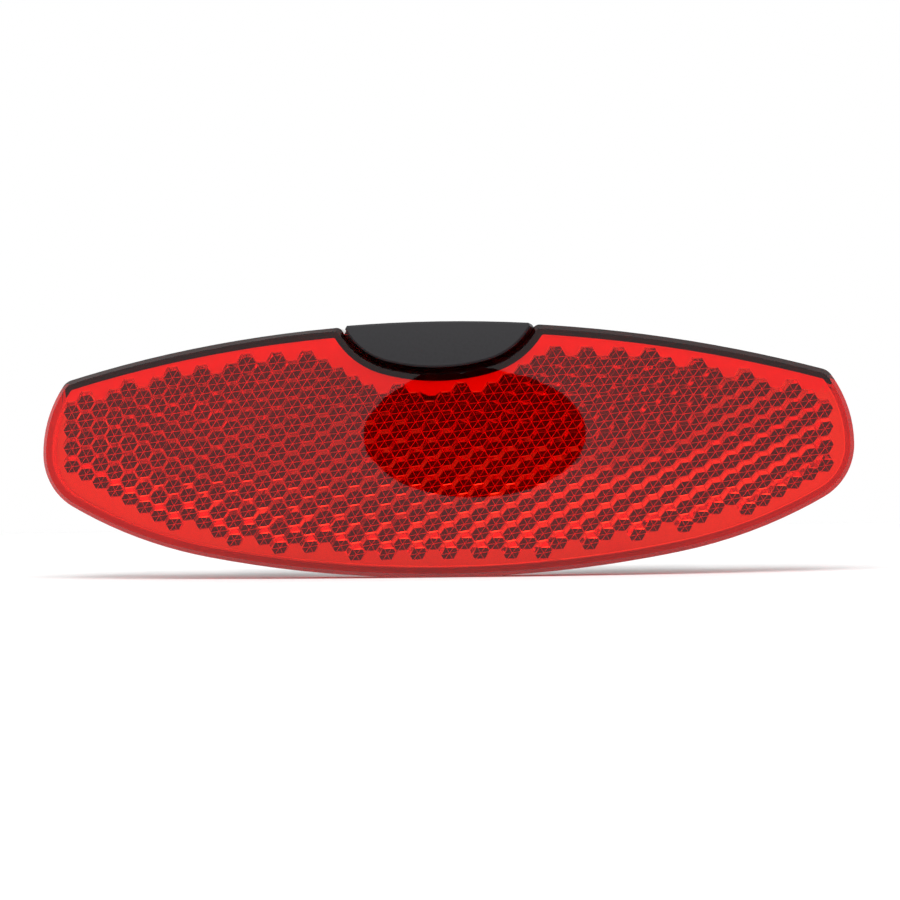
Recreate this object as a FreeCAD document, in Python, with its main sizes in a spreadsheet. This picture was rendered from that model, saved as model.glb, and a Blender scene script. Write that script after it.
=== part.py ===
import FreeCAD, Part
import math
import os
import Sketcher
from FreeCAD import Vector

doc = FreeCAD.newDocument("rack_reflector")

# Driving sizes in millimetres and degrees
sizes = [
    ("bow_radius", 150.0, "front face, curve from end to end"),
    ("profile_radius", 75.0, "front face, curve from top to bottom"),
    ("bow_droop", 10.0, "slope of the swept ends below the level, degrees"),
    ("front_reach", 21.0, "front of the lens ahead of the mounting face"),
    ("half_width", 56.95, "middle to one tip"),
    ("tip_height", 0.5, "widest point above the middle of the face"),
    ("lens_top", 17.9, "crown of the top edge above the middle of the face"),
    ("lens_bottom", 17.15, "lowest point below the middle of the face"),
    ("top_radius", 202.0, "top edge"),
    ("corner_radius", 2.2, "top outer corners"),
    ("side_radius", 16.5, "side edges above the tips"),
    ("tip_radius", 8.4, "edge just below the tips"),
    ("haunch_run", 24.2, "start of the lower end curve, in from the tip"),
    ("haunch_rise", 3.1, "start of the lower end curve, above the lowest point"),
    ("lens_wall", 2.2, "clear wall in front of the prisms"),
    ("rim_depth", 9.5, "front of the lens to the back of its rim, in the middle"),
    ("back_radius", 190.0, "back of the rim, curve from end to end"),
    ("rim_wall", 1.5, "thickness of the rim"),
    ("blank_depth", 18.0, "bowed blanks, before their backs are trimmed"),
    ("blank_margin", 12.0, "bowed blanks beyond the outline"),
    ("edge_chamfer", 0.6, "broken front edge of the lens"),
    ("notch_corner", 1.0, "rounded shoulders of the notch"),
    ("inner_corner", 0.4, "moulded corner inside the shoulders"),
    ("cell_flats", 2.47, "corner-cube prism, across the flats"),
    ("cell_step", 0.05, "step from the flat wall to the prism roots"),
    ("cell_grade", 0.05, "prisms are set to whole steps of this depth"),
    ("cell_root", 0.4, "prisms rooted in the wall"),
    ("cell_margin", 0.3, "prisms clear of the rim"),
    ("cap_bottom", 11.7, "lowest point of the half-moon cap"),
    ("cap_rise", 0.15, "cap above the crown of the lens"),
    ("cap_radius", 26.0, "lower edge of the cap in the middle"),
    ("cap_haunch", 9.5, "lower edge of the cap at the ends"),
    ("cap_centre", 4.5, "centre of the cap's end curves from the middle"),
    ("cap_gap", 0.45, "gap between the cap and the notch"),
    ("cap_chamfer", 0.25, "broken front edge of the cap"),
    ("cap_corner", 0.5, "broken top corners of the cap"),
    ("cover_wall", 1.6, "thickness of the back cover"),
    ("cover_fit", 0.1, "back cover clear of the rim, all round"),
    ("plate_wall", 2.0, "thickness of the bracket plate"),
    ("plate_setback", 0.15, "bracket plate below the top edge of the lens"),
    ("plate_inset", 6.5, "ends of the bracket plate, in from the tips"),
    ("plate_end", 4.5, "lower corner of the plate's ends above the middle"),
    ("plate_foot", 33.0, "middle to one lower corner of the plate"),
    ("plate_low", 9.0, "lower edge of the plate below the middle"),
    ("plate_round", 2.5, "rounded corners of the plate"),
    ("stud_spacing", 50.0, "between the stud centres"),
    ("stud_size", 5.0, "stud thread, outer diameter"),
    ("stud_neck", 4.4, "plain neck of the stud inside the boss, diameter"),
    ("stud_length", 14.0, "free thread behind the mounting face"),
    ("stud_chamfer", 0.6, "chamfered end of the thread"),
    ("stud_seat", 5.0, "mounting face to the seat of the stud head"),
    ("head_flats", 8.0, "stud head across the flats"),
    ("head_height", 3.4, "stud head"),
    ("stud_fit", 0.15, "stud clear of its seat, each side"),
    ("boss_size", 13.0, "boss round each stud, diameter"),
    ("boss_chamfer", 0.8, "broken rim of each boss"),
]
dims = doc.addObject("Spreadsheet::Sheet", "Dims")
for line, (alias, value, note) in enumerate(sizes, start=1):
    dims.set(f"A{line}", note)
    dims.set(f"B{line}", str(value))
    dims.setAlias(f"B{line}", alias)
doc.recompute()


def size(alias):
    return float(dims.get(alias))


def originPlane(body, role):
    return next(p for p in body.Origin.OriginFeatures if p.Role == role)


def newSketch(body, name, role):
    sketch = body.newObject("Sketcher::SketchObject", name)
    sketch.AttachmentSupport = [(originPlane(body, role), "")]
    sketch.MapMode = "FlatFace"
    return sketch


def drive(sketch, name, expression, *constraint):
    index = sketch.addConstraint(Sketcher.Constraint(*constraint))
    sketch.renameConstraint(index, name)
    sketch.setExpression("Constraints." + name, expression)


def addArc(sketch, centre, radius, start, end):
    circle = Part.Circle(centre, Vector(0, 0, 1), radius)
    first = math.atan2(start.y - centre.y, start.x - centre.x)
    last = math.atan2(end.y - centre.y, end.x - centre.x)
    if last < first:
        last += 2 * math.pi
    return sketch.addGeometry(Part.ArcOfCircle(circle, first, last), False)


def addLoop(sketch, corners):
    lines = []
    for a, b in zip(corners, corners[1:] + corners[:1]):
        lines.append(sketch.addGeometry(Part.LineSegment(a, b), False))
    for a, b in zip(lines, lines[1:] + lines[:1]):
        sketch.addConstraint(Sketcher.Constraint("Coincident", a, 2, b, 1))
    return lines


def toward(start, end, reach):
    return start + (end - start).normalize() * reach


def meet(a, ra, b, rb, side):
    along = (b - a).Length
    step = (ra * ra - rb * rb + along * along) / (2 * along)
    rise = math.sqrt(ra * ra - step * step)
    unit = (b - a).normalize()
    return a + unit * step + Vector(-unit.y, unit.x, 0) * rise * side


def flip(p):
    return Vector(-p.x, p.y, p.z)


# Centres of the outline's curves, in the front view
bottomRun = size("half_width") - size("haunch_run")
bottomRadius = (bottomRun ** 2 + size("haunch_rise") ** 2) / (2 * size("haunch_rise"))
bottomText = "((Dims.half_width - Dims.haunch_run)^2 + Dims.haunch_rise^2) / (2 * Dims.haunch_rise)"
bottomCentre = Vector(0, bottomRadius - size("lens_bottom"), 0)
topCentre = Vector(0, size("lens_top") - size("top_radius"), 0)
tipCentre = Vector(size("half_width") - size("tip_radius"), size("tip_height"), 0)
sideCentre = Vector(size("half_width") - size("side_radius"), size("tip_height"), 0)
haunchStart = Vector(bottomRun, size("haunch_rise") - size("lens_bottom"), 0)
inward = (bottomCentre - haunchStart).normalize()
toTip = tipCentre - haunchStart
haunchRadius = (toTip.dot(toTip) - size("tip_radius") ** 2) / (2 * (toTip.dot(inward) - size("tip_radius")))
haunchCentre = haunchStart + inward * haunchRadius
cornerCentre = meet(sideCentre, size("side_radius") - size("corner_radius"),
                    topCentre, size("top_radius") - size("corner_radius"), 1)
capCentre = Vector(0, size("cap_bottom") + size("cap_radius"), 0)
capFall = size("cap_radius") - size("cap_haunch")
capEndCentre = Vector(size("cap_centre"),
                      capCentre.y - math.sqrt(capFall ** 2 - size("cap_centre") ** 2), 0)


def pair(sketch, centre, radius, start, end, name=None, expression=None):
    right = addArc(sketch, centre, radius, start, end)
    left = addArc(sketch, flip(centre), radius, flip(end), flip(start))
    if name:
        drive(sketch, name, expression, "Radius", right, radius)
    sketch.addConstraint(Sketcher.Constraint("Equal", right, left))
    return right, left


def drawOutline(sketch, inset, insetText, notchAlias):
    # The lens seen from the front, with the notch for the cap, taken in by an inset
    rBottom = bottomRadius - inset
    rHaunch = haunchRadius - inset
    rTip = size("tip_radius") - inset
    rSide = size("side_radius") - inset
    rCorner = size("corner_radius") - inset
    rTop = size("top_radius") - inset
    rNotch = size("cap_radius") + size("cap_gap") + inset
    rEnd = size("cap_haunch") + size("cap_gap") + inset
    rShoulder = size(notchAlias)
    shoulder = meet(topCentre, rTop - rShoulder, capEndCentre, rEnd + rShoulder, -1)
    a = haunchStart + inward * inset
    b = toward(haunchCentre, tipCentre, rHaunch)
    c = Vector(size("half_width") - inset, size("tip_height"), 0)
    d = toward(sideCentre, cornerCentre, rSide)
    e = toward(topCentre, cornerCentre, rTop)
    f = toward(topCentre, shoulder, rTop)
    g = toward(capEndCentre, shoulder, rEnd)
    k = toward(capCentre, capEndCentre, rNotch)
    bottom = addArc(sketch, bottomCentre, rBottom, flip(a), a)
    drive(sketch, "bottomRadius", f"{bottomText} - {insetText}", "Radius", bottom, rBottom)
    haunch = pair(sketch, haunchCentre, rHaunch, a, b)
    tip = pair(sketch, tipCentre, rTip, b, c, "tipRadius", f"Dims.tip_radius - {insetText}")
    side = pair(sketch, sideCentre, rSide, c, d, "sideRadius", f"Dims.side_radius - {insetText}")
    corner = pair(sketch, cornerCentre, rCorner, d, e, "cornerRadius", f"Dims.corner_radius - {insetText}")
    top = pair(sketch, topCentre, rTop, e, f, "topRadius", f"Dims.top_radius - {insetText}")
    nose = pair(sketch, shoulder, rShoulder, f, g, "shoulderRadius", "Dims." + notchAlias)
    end = pair(sketch, capEndCentre, rEnd, k, g, "notchEndRadius",
               f"Dims.cap_haunch + Dims.cap_gap + {insetText}")
    notch = addArc(sketch, capCentre, rNotch, flip(k), k)
    drive(sketch, "notchRadius", f"Dims.cap_radius + Dims.cap_gap + {insetText}", "Radius", notch, rNotch)
    for s in (0, 1):
        # The right half runs on from each curve's end, the left half from its start
        chain = [bottom, haunch[s], tip[s], side[s], corner[s], top[s], nose[s]]
        for first, second in zip(chain, chain[1:]):
            sketch.addConstraint(Sketcher.Constraint("Tangent", first, 2 - s, second, 1 + s))
        sketch.addConstraint(Sketcher.Constraint("Tangent", nose[s], 2 - s, end[s], 2 - s))
        sketch.addConstraint(Sketcher.Constraint("Tangent", end[s], 1 + s, notch, 2 - s))
        sketch.addConstraint(Sketcher.Constraint("Horizontal", tip[s], 3, side[s], 3))
    for arc in (bottom, top[0]):
        sketch.addConstraint(Sketcher.Constraint("PointOnObject", arc, 3, -2))
    sketch.addConstraint(Sketcher.Constraint("Coincident", top[0], 3, top[1], 3))
    for arcs in (tip, end):
        sketch.addConstraint(Sketcher.Constraint("Symmetric", arcs[0], 3, arcs[1], 3, -2))
    spoke = sketch.addGeometry(Part.LineSegment(bottomCentre, haunchStart), True)
    sketch.addConstraint(Sketcher.Constraint("Coincident", spoke, 1, bottom, 3))
    sketch.addConstraint(Sketcher.Constraint("PointOnObject", bottom, 2, spoke))
    drive(sketch, "haunchReach", "Dims.half_width - Dims.haunch_run",
          "DistanceX", -1, 1, spoke, 2, haunchStart.x)
    drive(sketch, "haunchLevel", "Dims.haunch_rise - Dims.lens_bottom",
          "DistanceY", -1, 1, spoke, 2, haunchStart.y)
    drive(sketch, "bottomLevel", f"{bottomText} - Dims.lens_bottom",
          "DistanceY", -1, 1, bottom, 3, bottomCentre.y)
    drive(sketch, "topLevel", "Dims.lens_top - Dims.top_radius", "DistanceY", -1, 1, top[0], 3, topCentre.y)
    drive(sketch, "tipReach", "Dims.half_width - Dims.tip_radius", "DistanceX", -1, 1, tip[0], 3, tipCentre.x)
    drive(sketch, "tipLevel", "Dims.tip_height", "DistanceY", -1, 1, tip[0], 3, tipCentre.y)
    drive(sketch, "notchLevel", "Dims.cap_bottom + Dims.cap_radius",
          "DistanceY", -1, 1, notch, 3, capCentre.y)
    drive(sketch, "notchReach", "Dims.cap_centre", "DistanceX", -1, 1, end[0], 3, capEndCentre.x)


def drawCap(sketch):
    # The half-moon cap seen from the front
    rTop = size("top_radius")
    crown = Vector(0, topCentre.y + size("cap_rise"), 0)
    corner = meet(crown, rTop, capEndCentre, size("cap_haunch"), -1)
    k = toward(capCentre, capEndCentre, size("cap_radius"))
    top = addArc(sketch, crown, rTop, corner, flip(corner))
    low = addArc(sketch, capCentre, size("cap_radius"), flip(k), k)
    ends = pair(sketch, capEndCentre, size("cap_haunch"), k, corner, "endRadius", "Dims.cap_haunch")
    drive(sketch, "topRadius", "Dims.top_radius", "Radius", top, rTop)
    drive(sketch, "lowRadius", "Dims.cap_radius", "Radius", low, size("cap_radius"))
    for s in (0, 1):
        sketch.addConstraint(Sketcher.Constraint("Tangent", low, 2 - s, ends[s], 1 + s))
        sketch.addConstraint(Sketcher.Constraint("Coincident", ends[s], 2 - s, top, 1 + s))
    sketch.addConstraint(Sketcher.Constraint("PointOnObject", top, 3, -2))
    sketch.addConstraint(Sketcher.Constraint("Symmetric", ends[0], 3, ends[1], 3, -2))
    drive(sketch, "topLevel", "Dims.lens_top - Dims.top_radius + Dims.cap_rise",
          "DistanceY", -1, 1, top, 3, crown.y)
    drive(sketch, "lowLevel", "Dims.cap_bottom + Dims.cap_radius", "DistanceY", -1, 1, low, 3, capCentre.y)
    drive(sketch, "endReach", "Dims.cap_centre", "DistanceX", -1, 1, ends[0], 3, capEndCentre.x)


def drawPlate(sketch):
    # The bracket plate seen from the front, its top edge along the lens
    rTop = size("top_radius") - size("plate_setback")
    half = size("half_width") - size("plate_inset")
    shoulder = Vector(half, topCentre.y + math.sqrt(rTop ** 2 - half ** 2), 0)
    ear = Vector(half, size("plate_end"), 0)
    foot = Vector(size("plate_foot"), -size("plate_low"), 0)
    top = addArc(sketch, topCentre, rTop, shoulder, flip(shoulder))
    walk = [flip(shoulder), flip(ear), flip(foot), foot, ear, shoulder]
    lines = [sketch.addGeometry(Part.LineSegment(p, q), False) for p, q in zip(walk, walk[1:])]
    sketch.addConstraint(Sketcher.Constraint("Coincident", top, 2, lines[0], 1))
    for a, b in zip(lines, lines[1:]):
        sketch.addConstraint(Sketcher.Constraint("Coincident", a, 2, b, 1))
    sketch.addConstraint(Sketcher.Constraint("Coincident", lines[-1], 2, top, 1))
    for first, second in ((0, -1), (1, -2)):
        sketch.addConstraint(Sketcher.Constraint("Symmetric", lines[first], 2, lines[second], 1, -2))
    sketch.addConstraint(Sketcher.Constraint("Vertical", lines[0]))
    sketch.addConstraint(Sketcher.Constraint("Vertical", lines[-1]))
    sketch.addConstraint(Sketcher.Constraint("PointOnObject", top, 3, -2))
    drive(sketch, "topRadius", "Dims.top_radius - Dims.plate_setback", "Radius", top, rTop)
    drive(sketch, "topLevel", "Dims.lens_top - Dims.top_radius", "DistanceY", -1, 1, top, 3, topCentre.y)
    drive(sketch, "endReach", "Dims.half_width - Dims.plate_inset", "DistanceX", -1, 1, lines[-1], 1, half)
    drive(sketch, "endLevel", "Dims.plate_end", "DistanceY", -1, 1, lines[-1], 1, size("plate_end"))
    drive(sketch, "footReach", "Dims.plate_foot", "DistanceX", -1, 1, lines[2], 2, foot.x)
    drive(sketch, "footLevel", "-Dims.plate_low", "DistanceY", -1, 1, lines[2], 2, foot.y)


def bowedBlank(name, front, frontText):
    # A blank whose front is bowed like the face of the lens, at a depth behind it
    body = doc.addObject("PartDesign::Body", name)
    section = newSketch(body, name + "_section", "YZ_Plane")
    middle = Vector(size("profile_radius") - size("front_reach"), 0, 0)
    rise = Vector(0, size("lens_top") + size("blank_margin"), 0)
    rFront = size("profile_radius") - front
    rRear = size("profile_radius") - size("blank_depth")
    frontEnd = middle + Vector(-math.sqrt(rFront ** 2 - rise.y ** 2), 0, 0)
    rearEnd = middle + Vector(-math.sqrt(rRear ** 2 - rise.y ** 2), 0, 0)
    near = addArc(section, middle, rFront, frontEnd + rise, frontEnd - rise)
    far = addArc(section, middle, rRear, rearEnd + rise, rearEnd - rise)
    upper = section.addGeometry(Part.LineSegment(frontEnd + rise, rearEnd + rise), False)
    lower = section.addGeometry(Part.LineSegment(frontEnd - rise, rearEnd - rise), False)
    droop = math.radians(size("bow_droop"))
    pivot = Vector(-size("front_reach") + size("bow_radius") * math.cos(droop),
                   -size("bow_radius") * math.sin(droop), 0)
    along = Vector(math.sin(droop), math.cos(droop), 0) * size("profile_radius")
    axis = section.addGeometry(Part.LineSegment(pivot, pivot + along), True)
    for arc, where in ((near, 1), (far, 2)):
        section.addConstraint(Sketcher.Constraint("Coincident", arc, 1, upper, where))
        section.addConstraint(Sketcher.Constraint("Coincident", arc, 2, lower, where))
    section.addConstraint(Sketcher.Constraint("Horizontal", upper))
    section.addConstraint(Sketcher.Constraint("Horizontal", lower))
    section.addConstraint(Sketcher.Constraint("Coincident", near, 3, far, 3))
    section.addConstraint(Sketcher.Constraint("PointOnObject", near, 3, -1))
    section.addConstraint(Sketcher.Constraint("Symmetric", near, 1, near, 2, -1))
    drive(section, "middle", "Dims.profile_radius - Dims.front_reach",
          "DistanceX", -1, 1, near, 3, middle.x)
    drive(section, "frontRadius", f"Dims.profile_radius - {frontText}", "Radius", near, rFront)
    drive(section, "rearRadius", "Dims.profile_radius - Dims.blank_depth", "Radius", far, rRear)
    drive(section, "rise", "Dims.lens_top + Dims.blank_margin", "DistanceY", -1, 1, near, 1, rise.y)
    drive(section, "pivotReach", "Dims.bow_radius * cos(Dims.bow_droop * 1 deg) - Dims.front_reach",
          "DistanceX", -1, 1, axis, 1, pivot.x)
    drive(section, "pivotLevel", "-Dims.bow_radius * sin(Dims.bow_droop * 1 deg)",
          "DistanceY", -1, 1, axis, 1, pivot.y)
    drive(section, "axisRun", "Dims.profile_radius * sin(Dims.bow_droop * 1 deg)",
          "DistanceX", axis, 1, axis, 2, along.x)
    drive(section, "axisRise", "Dims.profile_radius * cos(Dims.bow_droop * 1 deg)",
          "DistanceY", axis, 1, axis, 2, along.y)
    doc.recompute()
    sweep = body.newObject("PartDesign::Revolution", name + "_bow")
    sweep.Profile = section
    sweep.ReferenceAxis = (section, ["Axis0"])
    sweep.Midplane = True
    sweep.setExpression("Angle", "2 * asin((Dims.half_width + Dims.blank_margin) / Dims.bow_radius)")
    doc.recompute()
    return body


def backArc(sketch, name, extra, extraText):
    # The curve of the rim's back in the top view, with a radius larger by an extra
    centre = Vector(0, size("rim_depth") + size("back_radius") - size("front_reach"), 0)
    radius = size("back_radius") + extra
    reach = size("half_width") + size("blank_margin")
    end = centre + Vector(reach, -math.sqrt(radius ** 2 - reach ** 2), 0)
    arc = addArc(sketch, centre, radius, flip(end), end)
    drive(sketch, name + "Radius", f"Dims.back_radius + {extraText}", "Radius", arc, radius)
    for side, where in ((-1, 1), (1, 2)):
        drive(sketch, f"{name}Reach{where}", f"{side} * (Dims.half_width + Dims.blank_margin)",
              "DistanceX", -1, 1, arc, where, side * reach)
    return arc, centre, end


def centreArc(sketch, arc, centre):
    sketch.addConstraint(Sketcher.Constraint("PointOnObject", arc, 3, -2))
    drive(sketch, "centreLevel", "Dims.rim_depth + Dims.back_radius - Dims.front_reach",
          "DistanceY", -1, 1, arc, 3, centre.y)


def curvedBlank(name, front, frontText, rear, rearText):
    # A blank between two curves alike the back of the rim, straight from top to bottom
    body = doc.addObject("PartDesign::Body", name)
    band = newSketch(body, name + "_band", "XY_Plane")
    near, centre, nearEnd = backArc(band, "front", front, frontText)
    far, centre, farEnd = backArc(band, "rear", rear, rearText)
    left = band.addGeometry(Part.LineSegment(flip(nearEnd), flip(farEnd)), False)
    right = band.addGeometry(Part.LineSegment(nearEnd, farEnd), False)
    for line, where in ((left, 1), (right, 2)):
        band.addConstraint(Sketcher.Constraint("Coincident", near, where, line, 1))
        band.addConstraint(Sketcher.Constraint("Coincident", far, where, line, 2))
    band.addConstraint(Sketcher.Constraint("Coincident", near, 3, far, 3))
    centreArc(band, near, centre)
    doc.recompute()
    wall = body.newObject("PartDesign::Pad", name + "_wall")
    wall.Profile = band
    wall.Midplane = True
    wall.setExpression("Length", "2 * (Dims.lens_top + Dims.blank_margin)")
    doc.recompute()
    return body


def cutThrough(body, name, sketch):
    doc.recompute()
    cut = body.newObject("PartDesign::Pocket", name)
    cut.Profile = sketch
    cut.Type = "ThroughAll"
    cut.Midplane = True
    doc.recompute()
    return cut


def trimOutline(body, draw, *drawArgs):
    # Takes away everything outside an outline in the front view
    outline = newSketch(body, body.Label + "_outline", "XZ_Plane")
    draw(outline, *drawArgs)
    reach = size("half_width") + 2 * size("blank_margin")
    frame = addLoop(outline, [Vector(-reach, -reach, 0), Vector(reach, -reach, 0),
                              Vector(reach, reach, 0), Vector(-reach, reach, 0)])
    for line, kind in zip(frame, ("Horizontal", "Vertical", "Horizontal", "Vertical")):
        outline.addConstraint(Sketcher.Constraint(kind, line))
    outline.addConstraint(Sketcher.Constraint("Symmetric", frame[0], 1, frame[2], 1, -1, 1))
    for name, kind in (("frameReach", "DistanceX"), ("frameRise", "DistanceY")):
        drive(outline, name, "Dims.half_width + 2 * Dims.blank_margin", kind, -1, 1, frame[2], 1, reach)
    return cutThrough(body, body.Label + "_trim", outline)


def trimBack(body, extra, extraText):
    # Takes away everything behind a curve alike the back of the rim
    sector = newSketch(body, body.Label + "_sector", "XY_Plane")
    arc, centre, end = backArc(sector, "rear", extra, extraText)
    left = sector.addGeometry(Part.LineSegment(flip(end), centre), False)
    right = sector.addGeometry(Part.LineSegment(end, centre), False)
    for line, where in ((left, 1), (right, 2)):
        sector.addConstraint(Sketcher.Constraint("Coincident", arc, where, line, 1))
        sector.addConstraint(Sketcher.Constraint("Coincident", arc, 3, line, 2))
    centreArc(sector, arc, centre)
    return cutThrough(body, body.Label + "_back", sector)


def edgeNames(shape, wanted):
    return [f"Edge{n}" for n, e in enumerate(shape.Edges, start=1) if wanted(e)]


def runsBack(edge):
    if edge.Curve.TypeId != "Part::GeomLine":
        return False
    return edge.Curve.Direction.cross(Vector(0, 1, 0)).Length < Part.Precision.confusion()


def frontEdges(shape, x, z):
    # Edges of the face that is met first, going backward at a place in the front view
    ahead = Vector(x, -size("front_reach") - size("blank_margin"), z)
    probe = Part.LineSegment(ahead, Vector(x, 0, z)).toShape()
    first = min(shape.section(probe).Vertexes, key=lambda v: v.Y)
    face = min(shape.Faces, key=lambda f: f.distToShape(first)[0])
    return edgeNames(shape, lambda e: any(e.isSame(other) for other in face.Edges))


def dressEdges(body, kind, measure, name, base, names, alias):
    feature = body.newObject(kind, name)
    feature.Base = (base, names)
    feature.setExpression(measure, "Dims." + alias)
    doc.recompute()
    return feature


def roundEdges(body, name, base, names, alias):
    return dressEdges(body, "PartDesign::Fillet", "Radius", name, base, names, alias)


def breakEdges(body, name, base, names, alias):
    return dressEdges(body, "PartDesign::Chamfer", "Size", name, base, names, alias)


def joined(kind, name, base, tool):
    boolean = doc.addObject(kind, name)
    boolean.Base = base
    boolean.Tool = tool
    doc.recompute()
    return boolean


def placed(kind, name, turn, **expressions):
    # A primitive whose axis is turned to run along the studs
    piece = doc.addObject(kind, name)
    piece.Placement = FreeCAD.Placement(Vector(), FreeCAD.Rotation(Vector(1, 0, 0), turn))
    for key, expression in expressions.items():
        piece.setExpression(key.replace("_", "."), expression)
    return piece


# Lens shell: a clear bowed wall with a rim behind it
block = bowedBlank("lens_block", 0, "0")
trimOutline(block, drawOutline, 0, "0", "notch_corner")
blockBack = trimBack(block, 0, "0")
breakEdges(block, "lens_edge", blockBack, frontEdges(block.Shape, 0, 0), "edge_chamfer")
core = bowedBlank("lens_core", size("lens_wall"), "Dims.lens_wall")
trimOutline(core, drawOutline, size("rim_wall"), "Dims.rim_wall", "inner_corner")
shell = joined("Part::Cut", "lens_shell", block, core)

# Corner-cube prisms: hexagon pins side by side along the light axis, each set to the depth of the bowed wall
droop = math.radians(size("bow_droop"))
backward = Vector(0, math.cos(droop), -math.sin(droop))
upward = Vector(0, math.sin(droop), math.cos(droop))
front = Vector(0, -size("front_reach"), 0)
cubeStep = size("cell_flats") / math.sqrt(6)
ring = size("cell_flats") / math.sqrt(3)
# The lattice is counted in half rings across and half flats up, from a spot between two columns of pins
firstColumn = 1.5
corners = [(2, 0), (1, 1), (-1, 1), (-2, 0), (-1, -1), (1, -1)]
neighbours = [(3, 1), (0, 2), (-3, 1), (-3, -1), (0, -2), (3, -1)]
window = Part.Face(min(doc.lens_core_outline.Shape.Wires, key=lambda w: w.BoundBox.DiagonalLength))


def shifted(spot, move):
    return spot[0] + move[0], spot[1] + move[1]


def across(spot):
    # Lengths across the light axis, to a spot of the lattice
    return (spot[0] + firstColumn) * ring / 2, spot[1] * size("cell_flats") / 2


def bowDepth(u, v, behind):
    # Depth along the light axis of a surface that lies behind the front face
    turn = size("profile_radius")
    rise = v - turn * math.sin(droop)
    profile = turn * math.cos(droop) - math.sqrt((turn - behind) ** 2 - rise ** 2)
    return size("bow_radius") - math.sqrt((size("bow_radius") - profile) ** 2 - u ** 2)


def pinPoint(u, v, depth):
    return front + Vector(u, 0, 0) + upward * v + backward * depth


def pinDepth(spot):
    # Where the shallow corners of a prism stand, in whole grades, just behind the wall
    walls = [bowDepth(*across(shifted(spot, c)), size("lens_wall")) for c in corners]
    return math.ceil((max(walls) + size("cell_step")) / size("cell_grade")) * size("cell_grade")


def fits(spot):
    u, v = across(spot)
    grow = 1 + size("cell_margin") / ring
    for c in corners:
        cu, cv = across(shifted(spot, c))
        for depth in (bowDepth(cu, cv, size("lens_wall")), pinDepth(spot) + cubeStep):
            p = pinPoint(u + (cu - u) * grow, v + (cv - v) * grow, depth)
            if not window.isInside(Vector(p.x, 0, p.z), Part.Precision.confusion(), True):
                return False
    return True


def wholePins():
    columns = math.ceil(size("half_width") / (firstColumn * ring))
    rows = math.ceil((size("lens_top") + size("lens_bottom")) / size("cell_flats"))
    for i in range(-columns, columns):
        for j in range(-rows, rows):
            spot = (3 * i, 2 * j + i % 2)
            if fits(spot):
                yield spot, pinDepth(spot)


def prismField(pins):
    # Three square facets on each pin, walls where neighbours differ in depth, and roots inside the lens wall
    levels = {}
    for spot, depth in pins.items():
        for n, c in enumerate(corners):
            levels.setdefault(shifted(spot, c), []).append(depth + cubeStep * (1 - n % 2))
    roots = {}
    for spot, depths in levels.items():
        roots[spot] = bowDepth(*across(spot), size("lens_wall") - size("cell_root"))
        if len(depths) < 3:  # fewer than three pins meet at a corner on the edge of the field
            depths.append(roots[spot])
    faces = []

    def addFace(points):
        faces.append(Part.Face(Part.makePolygon(points + points[:1])))

    def column(spot, start, end):
        # Points on a corner line between two depths, with those where other pins meet it
        low, high = sorted((start, end))
        stops = sorted({d for d in levels[spot] if low <= d <= high} | {low, high}, reverse=start > end)
        return [pinPoint(*across(spot), d) for d in stops]

    for spot, depth in pins.items():
        edge = [shifted(spot, c) for c in corners]
        rim = [depth + cubeStep * (1 - n % 2) for n in range(6)]
        points = [pinPoint(*across(s), d) for s, d in zip(edge, rim)]
        apex = pinPoint(*across(spot), depth + 2 * cubeStep)
        root = [pinPoint(*across(s), roots[s]) for s in edge]
        for n in (1, 3, 5):
            addFace([apex, points[n - 1], points[n], points[(n + 1) % 6]])
        for n in range(1, 5):
            addFace([root[0], root[n], root[n + 1]])
        for n in range(6):
            m = (n + 1) % 6
            other = pins.get(shifted(spot, neighbours[n]))
            if other is None:
                start, end = roots[edge[n]], roots[edge[m]]
            elif other < depth:
                start, end = rim[n] + other - depth, rim[m] + other - depth
            else:
                continue
            addFace(column(edge[n], start, rim[n]) + column(edge[m], rim[m], end))
    skin = Part.makeShell(faces)
    skin.sewShape()
    return Part.Solid(skin.Shells[0])


prisms = doc.addObject("Part::Feature", "prisms")
prisms.Shape = prismField(dict(wholePins()))
lens = doc.addObject("Part::Feature", "lens")
lens.Shape = shell.Shape.Solids[0].fuse(prisms.Shape)

# Back cover: a curved plate set inside the rim, level with its back
cover = curvedBlank("back_cover", size("cover_wall"), "Dims.cover_wall", 0, "0")
trimOutline(cover, drawOutline, size("rim_wall") + size("cover_fit"), "(Dims.rim_wall + Dims.cover_fit)",
            "inner_corner")

# Bracket plate: curved along the back of the lens, with a boss for each stud
plate = curvedBlank("bracket_plate", 0, "0", -size("plate_wall"), "-Dims.plate_wall")
trim = trimOutline(plate, drawPlate)
roundEdges(plate, "plate_corners", trim, edgeNames(plate.Shape, runsBack), "plate_round")
circles = newSketch(plate, "boss_circles", "XZ_Plane")
for side, name in ((1, "right"), (-1, "left")):
    centre = Vector(side * size("stud_spacing") / 2, 0, 0)
    circle = circles.addGeometry(Part.Circle(centre, Vector(0, 0, 1), size("boss_size") / 2), False)
    circles.addConstraint(Sketcher.Constraint("PointOnObject", circle, 3, -1))
    drive(circles, name + "Radius", "Dims.boss_size / 2", "Radius", circle, size("boss_size") / 2)
    drive(circles, name + "Reach", f"{side} * Dims.stud_spacing / 2", "DistanceX", -1, 1, circle, 3, centre.x)
doc.recompute()
bosses = plate.newObject("PartDesign::Pad", "stud_bosses")
bosses.Profile = circles
bosses.Type = "UpToFirst"
doc.recompute()


def bossRim(edge):
    return edge.Curve.TypeId == "Part::GeomCircle" and abs(edge.CenterOfMass.y) < Part.Precision.confusion()


breakEdges(plate, "boss_rims", bosses, edgeNames(plate.Shape, bossRim), "boss_chamfer")

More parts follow.
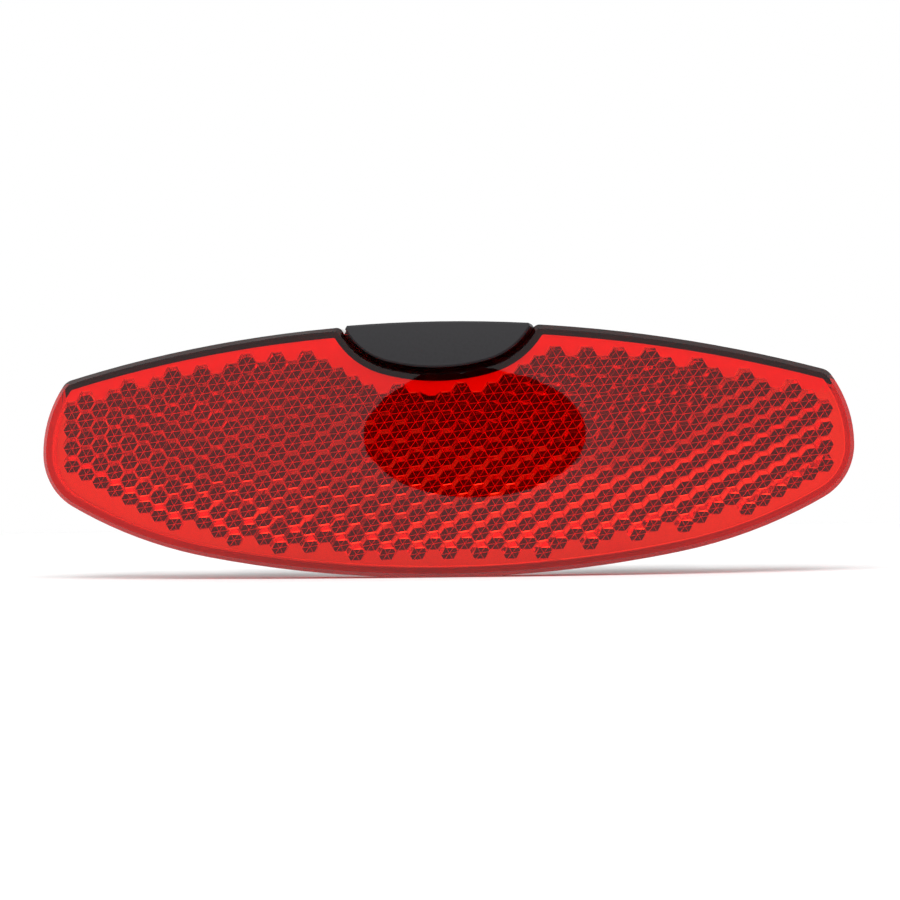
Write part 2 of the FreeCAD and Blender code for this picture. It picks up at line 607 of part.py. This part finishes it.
# Half-moon cap: stands forward from the plate through the notch, level with the lens
cap = bowedBlank("bracket_cap", 0, "0")
trimOutline(cap, drawCap)
capBack = trimBack(cap, -size("plate_wall") / 2, "-Dims.plate_wall / 2")
capCorners = breakEdges(cap, "cap_corners", capBack, edgeNames(cap.Shape, runsBack), "cap_corner")
capMiddle = (size("cap_bottom") + size("lens_top")) / 2
breakEdges(cap, "cap_edge", capCorners, frontEdges(cap.Shape, 0, capMiddle), "cap_chamfer")
moulding = joined("Part::Fuse", "bracket_moulding", plate, cap)

# Seats in the bracket: a hexagon for each stud head and a hole for its thread
seats = doc.addObject("Part::MultiFuse", "stud_seats")
cutters = []
for side, name in ((1, "right"), (-1, "left")):
    reach = f"{side} * Dims.stud_spacing / 2"
    pocket = placed("Part::Prism", name + "_pocket", 90, Placement_Base_x=reach,
                    Placement_Base_y="-Dims.stud_seat",
                    Circumradius="(Dims.head_flats / 2 + Dims.stud_fit) / cos(30 deg)",
                    Height="Dims.front_reach - Dims.stud_seat")
    hole = placed("Part::Cylinder", name + "_hole", 90, Placement_Base_x=reach,
                  Placement_Base_y="Dims.stud_size", Radius="Dims.stud_size / 2 + Dims.stud_fit",
                  Height="Dims.stud_seat + 2 * Dims.stud_size")
    cutters += [pocket, hole]
seats.Shapes = cutters
bracket = joined("Part::Cut", "bracket", moulding, seats)

# Studs: a hexagon head held in the bracket and a plain-ended thread behind the mounting face
head = placed("Part::Prism", "stud_head", -90, Placement_Base_x="Dims.stud_spacing / 2",
              Placement_Base_y="-Dims.stud_seat - Dims.head_height",
              Circumradius="Dims.head_flats / 2 / cos(30 deg)", Height="Dims.head_height")
neck = placed("Part::Cylinder", "stud_neck", -90, Placement_Base_x="Dims.stud_spacing / 2",
              Placement_Base_y="-Dims.stud_seat - Dims.head_height / 2", Radius="Dims.stud_neck / 2",
              Height="Dims.stud_seat + Dims.head_height / 2 + Dims.stud_chamfer")
thread = placed("Part::Cylinder", "stud_thread", -90, Placement_Base_x="Dims.stud_spacing / 2",
                Radius="Dims.stud_size / 2", Height="Dims.stud_length - Dims.stud_chamfer")
point = placed("Part::Cone", "stud_point", -90, Placement_Base_x="Dims.stud_spacing / 2",
               Placement_Base_y="Dims.stud_length - Dims.stud_chamfer", Radius1="Dims.stud_size / 2",
               Radius2="Dims.stud_size / 2 - Dims.stud_chamfer", Height="Dims.stud_chamfer")
stud = doc.addObject("Part::MultiFuse", "stud_right")
stud.Shapes = [head, neck, thread, point]
other = doc.addObject("Part::Mirroring", "stud_left")
other.Source = stud
other.Normal = Vector(1, 0, 0)
studs = doc.addObject("Part::Compound", "mounting_studs")
studs.Links = [stud, other]
doc.recompute()

# Each finished piece is checked and written to a file of its own
pieces = [lens, cover, bracket, studs]
for item in doc.Objects:
    if "Invalid" in item.State or "Error" in item.State:
        raise RuntimeError(f"{item.Label} failed: {item.State}")
for piece, solids in zip(pieces, (1, 1, 1, 2)):
    if piece.Shape.isNull() or not piece.Shape.isValid() or len(piece.Shape.Solids) != solids:
        raise RuntimeError(f"{piece.Label} isn't a sound piece")
os.makedirs("parts", exist_ok=True)
for piece in pieces:
    piece.Shape.exportStep(f"parts/{piece.Label}.step")
    print(piece.Label, round(piece.Shape.Volume, 1), len(piece.Shape.Faces), "faces")
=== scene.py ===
import math
import bmesh
import bpy
from mathutils import Matrix, Vector


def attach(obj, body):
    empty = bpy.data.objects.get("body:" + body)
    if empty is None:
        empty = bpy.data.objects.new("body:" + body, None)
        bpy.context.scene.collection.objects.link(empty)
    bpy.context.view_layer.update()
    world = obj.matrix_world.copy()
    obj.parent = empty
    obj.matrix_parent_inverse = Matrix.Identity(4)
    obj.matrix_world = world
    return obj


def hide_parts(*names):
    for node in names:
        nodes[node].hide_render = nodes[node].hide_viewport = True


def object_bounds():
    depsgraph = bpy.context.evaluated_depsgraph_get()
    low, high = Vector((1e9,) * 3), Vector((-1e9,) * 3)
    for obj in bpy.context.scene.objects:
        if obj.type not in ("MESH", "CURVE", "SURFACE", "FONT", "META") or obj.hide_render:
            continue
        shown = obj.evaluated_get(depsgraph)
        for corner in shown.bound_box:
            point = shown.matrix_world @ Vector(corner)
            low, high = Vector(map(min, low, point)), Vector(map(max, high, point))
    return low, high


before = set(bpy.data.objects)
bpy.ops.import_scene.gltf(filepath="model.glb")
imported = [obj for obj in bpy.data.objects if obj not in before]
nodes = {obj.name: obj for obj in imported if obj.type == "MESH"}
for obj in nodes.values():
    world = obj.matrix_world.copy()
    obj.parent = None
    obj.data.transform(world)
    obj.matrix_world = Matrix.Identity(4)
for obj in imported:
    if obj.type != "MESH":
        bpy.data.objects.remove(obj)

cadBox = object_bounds()
mm = 0.001
mergeReach = 0.001 * mm
noiseMiddle = (0.35, 0.65)  # most of a noise's values lie between these
scene = bpy.context.scene
scene.view_settings.view_transform = "Standard"
print("frame loaded:", sorted(nodes))


def linear(hexColour):  # sRGB hex to the linear values that sockets take
    channels = [int(hexColour[i:i + 2], 16) / 255 for i in (1, 3, 5)]
    return [c / 12.92 if c <= 0.04045 else ((c + 0.055) / 1.055) ** 2.4 for c in channels] + [1.0]


def paint(tree, node, **inputs):  # a node's inputs by name, each one linked or set
    for name, source in inputs.items():
        socket = node.inputs[name.replace("_", " ")]
        if isinstance(source, bpy.types.NodeSocket):
            tree.links.new(source, socket)
        else:
            socket.default_value = source


def addNode(tree, kind, settings=None, **inputs):
    node = tree.nodes.new(kind)
    for key, value in (settings or {}).items():
        setattr(node, key, value)
    paint(tree, node, **inputs)
    return node


def newMaterial(name):
    material = bpy.data.materials.new(name)
    material.use_nodes = True
    tree = material.node_tree
    return material, tree, tree.nodes["Principled BSDF"]


def dress(piece, *materials):
    piece.data.materials.clear()
    for material in materials:
        piece.data.materials.append(material)


# Camera: level with the face, a little to the right, rolled as the photo is
shot = {"azimuth": math.radians(5.0), "roll": math.radians(-0.8), "reach": 490 * mm,
        "aim": Vector((1.75, -21.0, 0.35)) * mm, "pixelsPerMm": 7.32, "photoPixels": 900, "sensor": 36}
back = Vector((math.sin(shot["azimuth"]), -math.cos(shot["azimuth"]), 0))
level = Vector((math.cos(shot["azimuth"]), math.sin(shot["azimuth"]), 0))
right = Matrix.Rotation(-shot["roll"], 3, -back) @ level
up = back.cross(right)
camera = bpy.data.objects.new("camera", bpy.data.cameras.new("camera"))
scene.collection.objects.link(camera)
camera.matrix_world = Matrix((right, up, back)).transposed().to_4x4()
camera.location = shot["aim"] + back * shot["reach"]
camera.data.lens = shot["sensor"] * shot["pixelsPerMm"] * shot["reach"] / mm / shot["photoPixels"]
scene.camera = camera
print("camera set, lens", round(camera.data.lens, 1))


def grain(tree, size, detail=2.0):  # noise in the piece's own coordinates, with specks of the given size
    place = addNode(tree, "ShaderNodeTexCoord").outputs["Object"]
    return addNode(tree, "ShaderNodeTexNoise", Vector=place, Scale=1 / size, Detail=detail).outputs["Fac"]


def spread(tree, value, low, high):  # the middle of a noise, stretched between two values
    start, end = noiseMiddle
    node = addNode(tree, "ShaderNodeMapRange", Value=value, From_Min=start, From_Max=end,
                   To_Min=low, To_Max=high)
    return node.outputs["Result"]


def blend(tree, value, low, high):  # the middle of a noise, stretched between two colours
    node = addNode(tree, "ShaderNodeValToRGB", Fac=value)
    for stop, place, colour in zip(node.color_ramp.elements, noiseMiddle, (low, high)):
        stop.position = place
        stop.color = linear(colour)
    return node.outputs["Color"]


def relief(tree, height, depth, strength):
    return addNode(tree, "ShaderNodeBump", Height=height, Distance=depth, Strength=strength).outputs["Normal"]


# Red acrylic, moulded in a polished tool: clear and glassy, so the eye sees the prisms behind the front
acrylic, tree, shader = newMaterial("redAcrylicPolished")
flow = grain(tree, 6 * mm)  # slow change of gloss, as the melt ran
paint(tree, shader, Base_Color=blend(tree, flow, "#FF1E0E", "#FF2612"),
      Roughness=spread(tree, flow, 0.01, 0.03), IOR=1.49, Transmission_Weight=1.0,
      Specular_Tint=linear("#D8D8D8"))  # mirrors less than bare acrylic, set from the photo

# The same acrylic where the tool leaves the prism edges round: it scatters, so the eye sees a red net
acrylicEdge, tree, shader = newMaterial("redAcrylicRoundedEdge")
edgeTone = blend(tree, grain(tree, 1.6 * mm), "#FF1E34", "#FF2A3E")
paint(tree, shader, Base_Color=edgeTone, Roughness=0.6, IOR=1.49)

# The same acrylic at the back of the rim, matt from the cover's weld: the eye sees a plain red edge
acrylicWeld, tree, shader = newMaterial("redAcrylicWelded")
weldTone = blend(tree, grain(tree, 2.5 * mm), "#FF2830", "#FF343A")
paint(tree, shader, Base_Color=weldTone, Roughness=0.7, IOR=1.49)

# The same acrylic made opaque and matt on the upper flat border of the prisms, where the bracket shades it
# from behind: its bright orange-red is painted glow, in place of the light that the frosted cover lets
# through lower down
acrylicMattPaintedGlow, tree, shader = newMaterial("redAcrylicMattBorderPaintedGlow")
paintedGlowTone = blend(tree, grain(tree, 1.2 * mm), "#FF3820", "#FF4226")
paint(tree, shader, Base_Color=paintedGlowTone, Roughness=0.7, IOR=1.49)

# Pale styrene, moulded in a blasted tool: frosted, so the prisms' steps glow where light comes from behind
frosted, tree, shader = newMaterial("paleStyreneBlasted")
speck = grain(tree, 0.5 * mm)  # drawn coarse, as a blasted grain is finer than a pixel
paint(tree, shader, Base_Color=blend(tree, speck, "#F4F3EE", "#FCFBF8"),
      Roughness=spread(tree, speck, 0.5, 0.6), IOR=1.59, Transmission_Weight=0.95)

# Black ABS, moulded in a finely eroded tool: matt, with a faint grain in the light
blackAbs, tree, shader = newMaterial("blackAbsEroded")
speck = grain(tree, 0.4 * mm)  # drawn coarse, as an eroded grain is finer than a pixel
paint(tree, shader, Base_Color=blend(tree, speck, "#19181B", "#201F22"),
      Roughness=spread(tree, speck, 0.5, 0.62), Specular_IOR_Level=0.3,
      Normal=relief(tree, speck, 0.03 * mm, 0.25))

# Zinc on steel: bright, a little cloudy from the bath
zinc, tree, shader = newMaterial("zincPlatedSteel")
cloud = grain(tree, 1.5 * mm, 4.0)
paint(tree, shader, Base_Color=blend(tree, cloud, "#BFC2BF", "#CFD0CA"),
      Roughness=spread(tree, cloud, 0.28, 0.42), Metallic=1.0)
print("materials made")


def mergedCopy(nodeName, name):  # a copy of a CAD piece to work on, its loose triangles merged
    piece = bpy.data.objects.new(name, nodes[nodeName].data.copy())
    piece.data.name = name
    scene.collection.objects.link(piece)
    bm = bmesh.new()
    bm.from_mesh(piece.data)
    bmesh.ops.remove_doubles(bm, verts=bm.verts, dist=mergeReach)
    return piece, bm


def writeBack(piece, bm, sharp):  # the worked copy to its mesh, crisp where it folds more than sharp
    for edge in bm.edges:
        edge.smooth = edge.calc_face_angle(0) < sharp
    bm.to_mesh(piece.data)
    bm.free()
    if "custom_normal" in piece.data.attributes:  # the loose triangles' normals, wrong since the merge
        piece.data.attributes.remove(piece.data.attributes["custom_normal"])


# Lens: the moulding, with a narrow strip for the rounded edges of each prism facet
lensLook = {"cellFlats": 2.47 * mm, "edgeStrip": 0.06 * mm, "axisDroop": math.radians(10),
            "leanMatch": 0.01, "foldMatch": 0.01, "areaMatch": 0.02, "flat": math.radians(0.5),
            "rearMiddle": -11.5 * mm, "rearRadius": 190 * mm, "rearReach": 0.4 * mm, "rearFacing": 0.7,
            "bondBottom": 9 * mm, "paintedGlowBottom": 8 * mm, "wallFacing": 0.8, "sharp": math.radians(20)}
lensMaterials = {"clear": acrylic, "edge": acrylicEdge, "bond": blackAbs, "weld": acrylicWeld,
                 "border": acrylicMattPaintedGlow}
lensSlots = {name: i for i, name in enumerate(lensMaterials)}


def isPrism(face):  # the three facets of a corner cube lean alike from the axis of the prisms
    axis = Vector((0, math.cos(lensLook["axisDroop"]), -math.sin(lensLook["axisDroop"])))
    return abs(face.normal.dot(axis) - math.sqrt(1 / 3)) < lensLook["leanMatch"]


def isFold(edge):  # the diagonal of a square facet, between its two triangles
    lengthFits = abs(edge.calc_length() / lensLook["cellFlats"] - 1) < lensLook["foldMatch"]
    level = edge.calc_face_angle() < lensLook["flat"]
    return lengthFits and level and all(isPrism(f) for f in edge.link_faces)


def isFacet(face):
    square = lensLook["cellFlats"] ** 2 / 2
    return isPrism(face) and abs(face.calc_area() / square - 1) < lensLook["areaMatch"]


def isRimBack(face):
    place = face.calc_center_median()
    rear = lensLook["rearMiddle"] + place.x ** 2 / 2 / lensLook["rearRadius"]
    return face.normal.y > lensLook["rearFacing"] and abs(place.y - rear) < lensLook["rearReach"]


def dressLens():
    lens, bm = mergedCopy("lens", "lensMoulding")
    folds = [e for e in bm.edges if isFold(e)]
    bmesh.ops.dissolve_edges(bm, edges=folds, use_verts=False, use_face_split=False)
    facets = [f for f in bm.faces if isFacet(f)]
    print("lens: folds", len(folds), "facets", len(facets))
    kept = set(bm.faces)
    bmesh.ops.inset_individual(bm, faces=facets, thickness=lensLook["edgeStrip"], use_even_offset=True)
    strips = [f for f in bm.faces if f not in kept]
    for face in strips:
        face.material_index = lensSlots["edge"]
    for face in bm.faces:  # upper border, on the inner side of the front wall, shaded from behind by the bracket: painted glow
        if face.normal.y > lensLook["wallFacing"] and face.calc_center_median().z > lensLook["paintedGlowBottom"]:
            face.material_index = lensSlots["border"]
    rimBack = [f for f in bm.faces if isRimBack(f)]
    for face in rimBack:  # black where the bracket is bonded on, matt from the weld elsewhere
        bonded = face.calc_center_median().z > lensLook["bondBottom"]
        face.material_index = lensSlots["bond" if bonded else "weld"]
    print("lens: edge strips", len(strips), "faces at the back of the rim", len(rimBack))
    dress(lens, *lensMaterials.values())  # before the faces are written, or their slots are lost
    writeBack(lens, bm, lensLook["sharp"])
    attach(lens, "root")
    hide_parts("lens")


# Studs: the heads as they are, and a rolled thread in place of the plain shank
studLook = {"spacing": 50 * mm, "radius": 2.5 * mm, "length": 14 * mm, "pitch": 0.8 * mm, "depth": 0.49 * mm,
            "crest": 0.125, "flank": 0.625, "chamfer": 0.6 * mm, "stepsPerPitch": 8,
            "shankStart": 0.01 * mm, "sharp": math.radians(35)}


def threadRadius(angle, along):
    turns = along / studLook["pitch"] + angle / 2 / math.pi
    fromCrest = abs(2 * (turns % 1) - 1)
    groove = min(max((fromCrest - studLook["crest"]) / studLook["flank"], 0), 1)  # flat crest and root
    cone = studLook["radius"] - max(0, along - studLook["length"] + studLook["chamfer"])
    return min(studLook["radius"] - studLook["depth"] * groove, cone)


def addThread(bm, middle):  # grows from the open edge that the plain shank left in the head
    def angleOf(vert):
        return math.atan2(vert.co.z, vert.co.x - middle)

    reach = studLook["spacing"] / 2
    rim = {v for e in bm.edges if e.is_boundary for v in e.verts if abs(v.co.x - middle) < reach}
    rings = [sorted(rim, key=angleOf)]
    angles = [angleOf(v) for v in rings[0]]
    steps = round(studLook["length"] / studLook["pitch"] * studLook["stepsPerPitch"])
    for i in range(1, steps + 1):
        along = studLook["length"] * i / steps
        ring = []
        for angle in angles:
            r = threadRadius(angle, along)
            ring.append(bm.verts.new((middle + r * math.cos(angle), along, r * math.sin(angle))))
        rings.append(ring)
    skin = [bm.faces.new(rings[-1])]
    for low, high in zip(rings, rings[1:]):
        for j in range(len(angles)):
            k = (j + 1) % len(angles)
            skin.append(bm.faces.new((low[j], low[k], high[k], high[j])))
    bmesh.ops.recalc_face_normals(bm, faces=bm.faces)
    for face in skin:
        face.smooth = True


def dressStuds():
    studs, bm = mergedCopy("mounting_studs", "threadedStuds")
    shank = [f for f in bm.faces if max(v.co.y for v in f.verts) > studLook["shankStart"]]
    bmesh.ops.delete(bm, geom=shank, context="FACES")
    for middle in (-studLook["spacing"] / 2, studLook["spacing"] / 2):
        addThread(bm, middle)
    print("studs:", len(bm.verts), "points", len(bm.faces), "faces")
    dress(studs, zinc)
    writeBack(studs, bm, studLook["sharp"])
    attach(studs, "root")
    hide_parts("mounting_studs")


dressLens()
dressStuds()
dress(nodes["back_cover"], frosted)
dress(nodes["bracket"], blackAbs)
print("pieces dressed")

# Studio: a soft white room, a lamp above the camera and a white paper floor
studio = {"room": 0.65, "lampSize": 0.9, "lampPower": 8.5, "lampPlace": Vector((0, -0.55, 0.85)),
          "floorFront": -2.5, "floorBack": 0.3, "floorSide": 2.5}
world = bpy.data.worlds.new("studio")
scene.world = world
world.use_nodes = True
tree = world.node_tree
path = addNode(tree, "ShaderNodeLightPath")
seen = path.outputs["Is Camera Ray"]
for kind in ("Is Glossy Ray", "Is Transmission Ray"):  # the eye, mirrors and glass see plain white
    either = addNode(tree, "ShaderNodeMath", {"operation": "MAXIMUM"})
    tree.links.new(seen, either.inputs[0])
    tree.links.new(path.outputs[kind], either.inputs[1])
    seen = either.outputs[0]
strength = addNode(tree, "ShaderNodeMapRange", Value=seen, To_Min=studio["room"], To_Max=1.0)
paint(tree, tree.nodes["Background"], Color=(1, 1, 1, 1), Strength=strength.outputs["Result"])
scene.cycles.max_bounces = 24  # light goes round inside the prisms many times
scene.cycles.glossy_bounces = 16
scene.cycles.transmission_bounces = 24
scene.cycles.diffuse_bounces = 6

lamp = bpy.data.objects.new("softLamp", bpy.data.lights.new("softLamp", "AREA"))
scene.collection.objects.link(lamp)
lamp.data.size = studio["lampSize"]
lamp.data.energy = studio["lampPower"]
lamp.location = studio["lampPlace"]
lamp.rotation_euler = (-studio["lampPlace"]).to_track_quat("-Z", "Y").to_euler()


def stageSheet(name, corners, material):
    bm = bmesh.new()
    bm.faces.new([bm.verts.new(c) for c in corners])
    mesh = bpy.data.meshes.new(name)
    bm.to_mesh(mesh)
    bm.free()
    sheet = bpy.data.objects.new(name, mesh)
    scene.collection.objects.link(sheet)
    dress(sheet, material)
    return sheet


# White paper with a faint fibre: matt and pale, so the eye sees little more than the shadow on it
paper, tree, shader = newMaterial("whitePaperFloor")
paint(tree, shader, Base_Color=blend(tree, grain(tree, 3 * mm), "#FAFAFA", "#FFFFFF"), Roughness=0.9)
wide, front, rear, base = studio["floorSide"], studio["floorFront"], studio["floorBack"], cadBox[0][2]
floorCorners = [(-wide, front, base), (wide, front, base), (wide, rear, base), (-wide, rear, base)]
floor = stageSheet("paperFloor", floorCorners, paper)
floor.visible_glossy = False  # in the mirror of the lens it would cut across the card

# Dark red card round the camera: its reflection is the dark patch in the lens, and the prisms return its red
card = {"reach": 500 * mm, "width": 270 * mm, "height": 276 * mm, "side": -50 * mm, "rise": 40 * mm,
        "points": 64}
cardPaint, tree, shader = newMaterial("darkRedCard")
cardTone = blend(tree, grain(tree, 3 * mm), "#4C080F", "#520A12")
paint(tree, shader, Base_Color=cardTone, Roughness=0.9, Specular_IOR_Level=0.0)
centre = shot["aim"] + back * card["reach"] + right * card["side"] + up * card["rise"]
oval = []
for k in range(card["points"]):
    angle = 2 * math.pi * k / card["points"]
    across, rise = card["width"] / 2 * math.cos(angle), card["height"] / 2 * math.sin(angle)
    oval.append(centre + right * across + up * rise)
flag = stageSheet("darkRedCard", oval, cardPaint)
flag.visible_camera = False
flag.visible_shadow = False
print("stage set")
